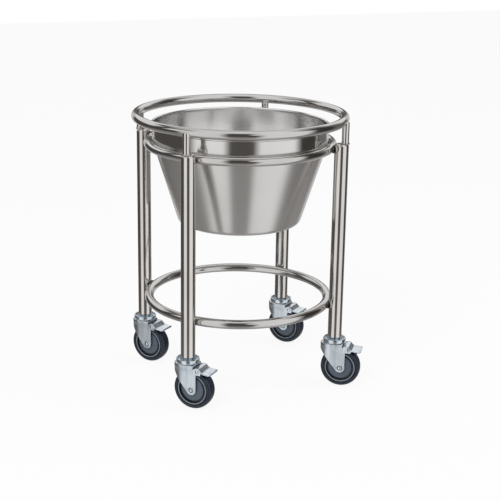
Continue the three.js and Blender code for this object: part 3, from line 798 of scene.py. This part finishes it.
TYRE_SIDE = [
    (TYRE_SEAT, 9.4), (29.3, 10.6), (30.2, 11), (31.6, 11), (32.8, 10.7), (33.8, 10.1),
    (34.6, 9.2), (35.2, 8), (35.6, 6.6), (35.85, 5), (35.96, 3.4), (WHEEL_RADIUS, 2), (WHEEL_RADIUS, 0.4),
]
HUB_SIDE = [
    (6.3, 9.5), (19.2, 9.5), (20.6, 9.2), (21.3, 8.5), (21.5, 6), (25, 6), (25.2, 6.6), (25.3, 9.9),
    (27.6, 9.9), (28.1, 9.2),
]
LIP_SIDE = arc((26.45, 9.9), 1.1, 10, 170, 10)  # bead on the hub beside the tyre, painted lighter as a highlight
RIVET_SIDE = [
    (6, 14.35), (6.2, 14.8), (6, 15.2), (5.4, 15.35), (4.9, 15.3), (4.5, 14.9), (3.5, 14.9), (3.2, 15.5),
    (2.6, 16.05), (1.3, 16.36), (0, 16.4),
]
RIVET_GROOVE = (3, 4.6)  # radii of the rivet's groove, painted dark as shade round its point
HUB_GROOVE = (21.4, 25.27)  # radii of the hub's groove, painted dark as shade in the recess
PIN_SIDE = [(3, 16.75), (3.2, 17.05), (3.1, 17.5), (2.5, 17.85), (1.3, 18.07), (0, 18.1)]
CUP_PROFILE = [
    (6.3, 82.6), (18.6, 82.6), (19.6, 82.9), (20.2, 83.5), (20.45, 84.4), (20.5, 88.2), (20.5, 89.2),
    (20.2, 89.8), (19.5, 90), (18.8, 89.9), (18.3, 89.4), (17.7, 87.4), (16.8, 85.6), (15.6, 85), (12.7, 85),
    (12.7, 91.7), (6.3, 91.7),
]
WHEEL_SEGMENTS = 96
RIVET_SEGMENTS = 40
PIN_SEGMENTS = 32
CUP_SEGMENTS = 72
BLOCK_FACE = arc(AXLE, 39, 62, 44, 8)  # the hollow that presses on the tyre
BLOCK_OUTLINE = [*BLOCK_FACE, (44.65, 66.6), (44.65, 68.5), (34.3, 69.5), (31.4, 72.3)]
BLOCK_HALF = 11
BLOCK_EDGE = 0.9
BLOCK_EDGE_STEPS = 2
PEDAL_LINE = [(18.5, 77.6), (23, 78.9), (28, 78.9), (35, 71.5), (46.5, 70.3), (50.5, 70.9)]
PEDAL_CORNER = 4
PEDAL_CORNER_STEPS = 6
PEDAL_SHEET = 1.6
PEDAL_HALF = 16.6
PEDAL_BEND = 2.6
PEDAL_BEND_STEPS = 5
PEDAL_FLAT_SHARES = (0.75, 0.5, 0.25)  # where a row has points between the bend and the middle
PEDAL_STEP = 0.8  # spacing of the pedal's rows
CHEEK_LOW = 66.6
CHEEK_END = (31.5, 35)  # where the cheek's lower edge starts to rise, and where it meets the tab
TAB_HALF = 17.25
TAB_CORNER = 4
TAB_CORNER_END = 0.2  # what is left of the corner's round at the tip
TAB_RIM = 0.7  # downturn of the tab's edge


def pedal_grid():
    """Rows of points on the pedal's outer face: crown with cheeks, then the flared tread tab."""
    line = rounded(PEDAL_LINE, [PEDAL_CORNER] * len(PEDAL_LINE), PEDAL_CORNER_STEPS)
    dense = []
    for start, end in zip(line, line[1:]):
        pieces = max(1, round(math.dist(start, end) / PEDAL_STEP))
        dense += [tuple(Vector(start).lerp(Vector(end), k / pieces)) for k in range(pieces)]
    dense.append(line[-1])
    tip = PEDAL_LINE[-1][0]
    grid = []
    for x, z in dense:
        tab = smooth_step(*CHEEK_END, x)
        half = PEDAL_HALF + (TAB_HALF - PEDAL_HALF) * tab
        over = max(0, x - (tip - TAB_CORNER))
        half -= TAB_CORNER - math.sqrt(max(TAB_CORNER ** 2 - over ** 2, TAB_CORNER_END ** 2))
        drop = (z - CHEEK_LOW) * (1 - tab) + TAB_RIM * tab
        bend = min(PEDAL_BEND, drop)
        section = [(half, z - drop), (half, z - bend - (drop - bend) / 2)]
        section += arc((half - bend, z - bend), bend, 0, 90, PEDAL_BEND_STEPS)
        flat = half - bend
        section += [(flat * share, z) for share in PEDAL_FLAT_SHARES]
        full = section + [(0, z)] + [(-y, h) for y, h in reversed(section)]
        grid.append([Vector((x, y, h)) for y, h in full])
    return grid


def turned_pair(name, side, segments, place):
    """A pin along the axle with a head at each end."""
    profile = [(0, -side[-1][1]), *((r, -y) for r, y in reversed(side[:-1])), *side]
    return lathe(name, profile, segments, place, closed=False, along_y=True)


joints = {joint["name"]: joint for joint in frame["joints"]}
for number in CASTER_NUMBERS:
    swivel = Vector(joints[f"caster_{number}_swivel"]["pos_m"])
    across = Vector(joints[f"caster_{number}_roll"]["axis"]).normalized()
    trail = across.cross(UP)
    place = Matrix.Translation((swivel.x, swivel.y, 0)) @ Matrix((trail, across, UP)).transposed().to_4x4()
    axle = place @ Matrix.Translation(Vector((AXLE[0], 0, AXLE[1])) * MM)
    pin = place @ Matrix.Translation(Vector((PEDAL_PIN[0], 0, PEDAL_PIN[1])) * MM)
    fork_body, wheel_body, pedal_body = (f"caster_{number}_{part}" for part in ("fork", "wheel", "pedal"))

    cup = lathe(f"zinc_cup_{number}", CUP_PROFILE, CUP_SEGMENTS, place)
    dress(cup, zinc, "stand", "zinc", f"swivel_cup_{number}")
    dress(fork(f"zinc_fork_{number}", place), zinc_sheet, fork_body, "zinc", f"fork_{number}")
    rivet = turned_pair(f"zinc_rivet_{number}", RIVET_SIDE, RIVET_SEGMENTS, axle)
    dress(rivet, zinc, fork_body, "zinc", f"axle_rivet_{number}")
    # The rivet's groove takes the dark steel as painted shade.
    darken(rivet, axle, RIVET_GROOVE, dark_steel_and_gap_shade)
    pedal_pin = turned_pair(f"zinc_pin_{number}", PIN_SIDE, PIN_SEGMENTS, pin)
    dress(pedal_pin, zinc, fork_body, "zinc", f"pedal_pin_{number}")
    tyre = lathe(f"rubber_tyre_{number}", mirrored(TYRE_SIDE), WHEEL_SEGMENTS, axle, along_y=True)
    dress(tyre, rubber, wheel_body, "tyre_grey", f"tyre_{number}")
    hub = lathe(f"grey_hub_{number}", mirrored(HUB_SIDE), WHEEL_SEGMENTS, axle, along_y=True)
    dress(hub, hub_grey, wheel_body, "hub_grey", f"wheel_hub_{number}")
    darken(hub, axle, HUB_GROOVE, hub_shade)
    for side, direction in (("right", -1), ("left", 1)):
        profile = [(radius, direction * y) for radius, y in LIP_SIDE]
        lip = lathe(f"lip_painted_highlight_{number}_{side}", profile, WHEEL_SEGMENTS, axle, along_y=True)
        dress(lip, hub_lip, wheel_body, "hub_grey")
    pedal = sheet(f"zinc_pedal_{number}", pedal_grid(), PEDAL_SHEET, place)
    dress(pedal, zinc, pedal_body, "zinc", f"brake_pedal_{number}")
    block = prism(f"black_block_{number}", BLOCK_OUTLINE, -BLOCK_HALF, BLOCK_HALF, place, sideways=True)
    bevel(block, BLOCK_EDGE, BLOCK_EDGE_STEPS)
    dress(block, block_black, pedal_body, "black_plastic", f"brake_block_{number}")
    # Stems, balls and bushes take the dark steel, painted shade in the gaps where they show.
    for hidden in (f"caster_stem_{number}", f"ball_ring_{number}", f"axle_bush_{number}"):
        node = frame["nodes"][hidden]
        node.data.materials.clear()
        node.data.materials.append(dark_steel_and_gap_shade)

# Studio

WHITE = (1, 1, 1, 1)
FLOOR_HALF = 6
FLOOR_COLOUR = (0.9, 0.9, 0.9, 1)
FLOOR_GLOW = 0.9  # how much of the floor the camera sees as plain white
FILL_LEVEL = 0.6
LAMP_AIM = Vector((0, 0, 0.25))

# Studio walls as polished metal sees them: white, with dark flags. Angles run round the object from the
# photograph's side towards the right of the picture, and heights are sines of the angle over the horizon.
CAMERA_SIDE = math.radians(-112.6)
FLAGS = [
    (-180, 0.1), (-170, 0.1), (-162, 0.7), (-154, 0.7), (-146, 0.08), (-70, 0.08), (-58, 1), (-22, 1),
    (-12, 0.09), (17, 0.09), (27, 1), (74, 1), (86, 0.05), (112, 0.05), (118, 0.18), (148, 0.18),
    (156, 0.7), (164, 0.7), (172, 0.1), (180, 0.1),
]
# Gaps that let light in between the flags, at the heights given after them
HIGH_GAPS = [
    (-180, 1), (-110, 1), (-98, 0), (-92, 0), (-82, 1), (-50, 1), (-40, 0), (8, 0), (16, 1), (80, 1), (92, 0),
    (128, 0), (140, 1), (180, 1),
]
GAP_HEIGHT = [(0.19, 0), (0.26, 1), (0.6, 1), (0.7, 0)]
SHADE_TINT = [(0, (0, 0, 0)), (0.1, (0.107, 0.1, 0.095)), (0.5, (0.51, 0.5, 0.493)), (1, (1, 1, 1))]
FLAG_DEPTH = [(-1, 0), (-0.8, 0.7), (-0.5, 0.8), (-0.3, 1), (0.7, 1), (0.82, 0.4), (0.92, 0)]
ROOM_LEVEL = [(-1, 0.4), (-0.85, 0.75), (-0.7, 1), (1, 1)]


def room_colour(room):
    """Colour of the room in each direction: white, with slightly warm shade."""
    split = room.add("ShaderNodeSeparateXYZ")
    room.join(room.add("ShaderNodeTexCoord").outputs["Generated"], split.inputs[0])
    x, y, z = split.outputs
    turn = room.math("SUBTRACT", room.math("ARCTAN2", y, x), CAMERA_SIDE)
    share = room.math("FRACT", room.math("ADD", room.math("DIVIDE", turn, FULL_TURN), 0.5))
    height = room.math("ADD", room.math("MULTIPLY", z, 0.5), 0.5)

    def round_about(stops):
        return room.ramp(share, [(0.5 + angle / 360, level) for angle, level in stops])

    def up_and_down(stops):
        return room.ramp(height, [(0.5 + sine / 2, level) for sine, level in stops])

    gaps = room.math("MULTIPLY", round_about(HIGH_GAPS), up_and_down(GAP_HEIGHT))
    flags = room.math("MAXIMUM", round_about(FLAGS), gaps)
    darkened = room.math("MULTIPLY", room.math("SUBTRACT", 1, flags), up_and_down(FLAG_DEPTH))
    brightness = room.math("MULTIPLY", room.math("SUBTRACT", 1, darkened), up_and_down(ROOM_LEVEL))
    return room.ramp(brightness, SHADE_TINT)


def studio_world():
    """White for the camera, an even fill for matt surfaces, and a flagged white room for reflections."""
    world = bpy.data.worlds.new("studio")
    bpy.context.scene.world = world
    world.use_nodes = True
    world.node_tree.nodes.clear()
    room = Nodes(world.node_tree)
    shades = []
    for strength in (FILL_LEVEL, 1, 1):
        shade = room.add("ShaderNodeBackground")
        shade.inputs["Color"].default_value = WHITE
        shade.inputs["Strength"].default_value = strength
        shades.append(shade)
    fill, seen, reflected = shades
    room.join(room_colour(room), reflected.inputs["Color"])
    path = room.add("ShaderNodeLightPath")
    result = fill.outputs[0]
    for ray, shade in (("Is Glossy Ray", reflected), ("Is Transmission Ray", seen), ("Is Camera Ray", seen)):
        result = room.mix(path.outputs[ray], result, shade.outputs[0])
    room.join(result, room.add("ShaderNodeOutputWorld").inputs[0])


def floor_material():
    """Pale paper, almost white to the rays that should see the plain background."""
    material = bpy.data.materials.new("pale_floor")
    material.use_nodes = True
    material.node_tree.nodes.clear()
    surface = Nodes(material.node_tree)
    paper = surface.add("ShaderNodeBsdfDiffuse")
    paper.inputs["Color"].default_value = FLOOR_COLOUR
    glow = surface.add("ShaderNodeEmission")
    glow.inputs["Color"].default_value = WHITE
    glow.inputs["Strength"].default_value = 1
    path = surface.add("ShaderNodeLightPath")
    background = path.outputs["Is Camera Ray"]
    for ray in ("Is Glossy Ray", "Is Transmission Ray"):
        background = surface.math("MAXIMUM", background, path.outputs[ray])
    share = surface.math("MULTIPLY", background, FLOOR_GLOW)
    result = surface.mix(share, paper.outputs[0], glow.outputs[0])
    surface.join(result, surface.add("ShaderNodeOutputMaterial").inputs[0])
    return material


def studio_floor():
    """A wide floor that takes the object's shadow and that metal doesn't reflect."""
    corners = [(x * FLOOR_HALF, y * FLOOR_HALF, 0) for x, y in ((-1, -1), (1, -1), (1, 1), (-1, 1))]
    mesh = bpy.data.meshes.new("floor")
    mesh.from_pydata(corners, [], [tuple(range(len(corners)))])
    mesh.materials.append(floor_material())
    floor = bpy.data.objects.new("floor", mesh)
    floor.visible_glossy = False
    bpy.context.scene.collection.objects.link(floor)


def lamp(name, place, size, power):
    """A soft rectangular lamp that points at the middle of the object and leaves no highlight."""
    data = bpy.data.lights.new(name, "AREA")
    data.shape = "RECTANGLE"
    data.size, data.size_y = size
    data.energy = power
    light = bpy.data.objects.new(name, data)
    light.location = place
    light.rotation_euler = (LAMP_AIM - Vector(place)).to_track_quat("-Z", "Y").to_euler()
    light.visible_glossy = False
    bpy.context.scene.collection.objects.link(light)


studio_world()
studio_floor()
lamp("key", place=(-1.6, -1.4, 2.2), size=(1.2, 1.2), power=30)
lamp("fill", place=(1.9, -1.0, 1.6), size=(1.0, 1.4), power=14)

# Camera

forward = Vector((
    math.sin(CAMERA_HEADING) * math.cos(CAMERA_PITCH),
    math.cos(CAMERA_HEADING) * math.cos(CAMERA_PITCH),
    -math.sin(CAMERA_PITCH),
))
level_right = Vector((math.cos(CAMERA_HEADING), -math.sin(CAMERA_HEADING), 0))
level_up = level_right.cross(forward)
right = level_right * math.cos(CAMERA_ROLL) + level_up * math.sin(CAMERA_ROLL)
up = level_up * math.cos(CAMERA_ROLL) - level_right * math.sin(CAMERA_ROLL)
camera_data = bpy.data.cameras.new("camera")
camera_data.sensor_width = SENSOR_WIDTH
camera_data.lens = CAMERA_LENS
camera = bpy.data.objects.new("camera", camera_data)
camera.matrix_world = Matrix.Translation(CAMERA_PLACE) @ Matrix((right, up, -forward)).transposed().to_4x4()
bpy.context.scene.collection.objects.link(camera)
bpy.context.scene.camera = camera
bpy.context.scene.view_settings.view_transform = "Standard"
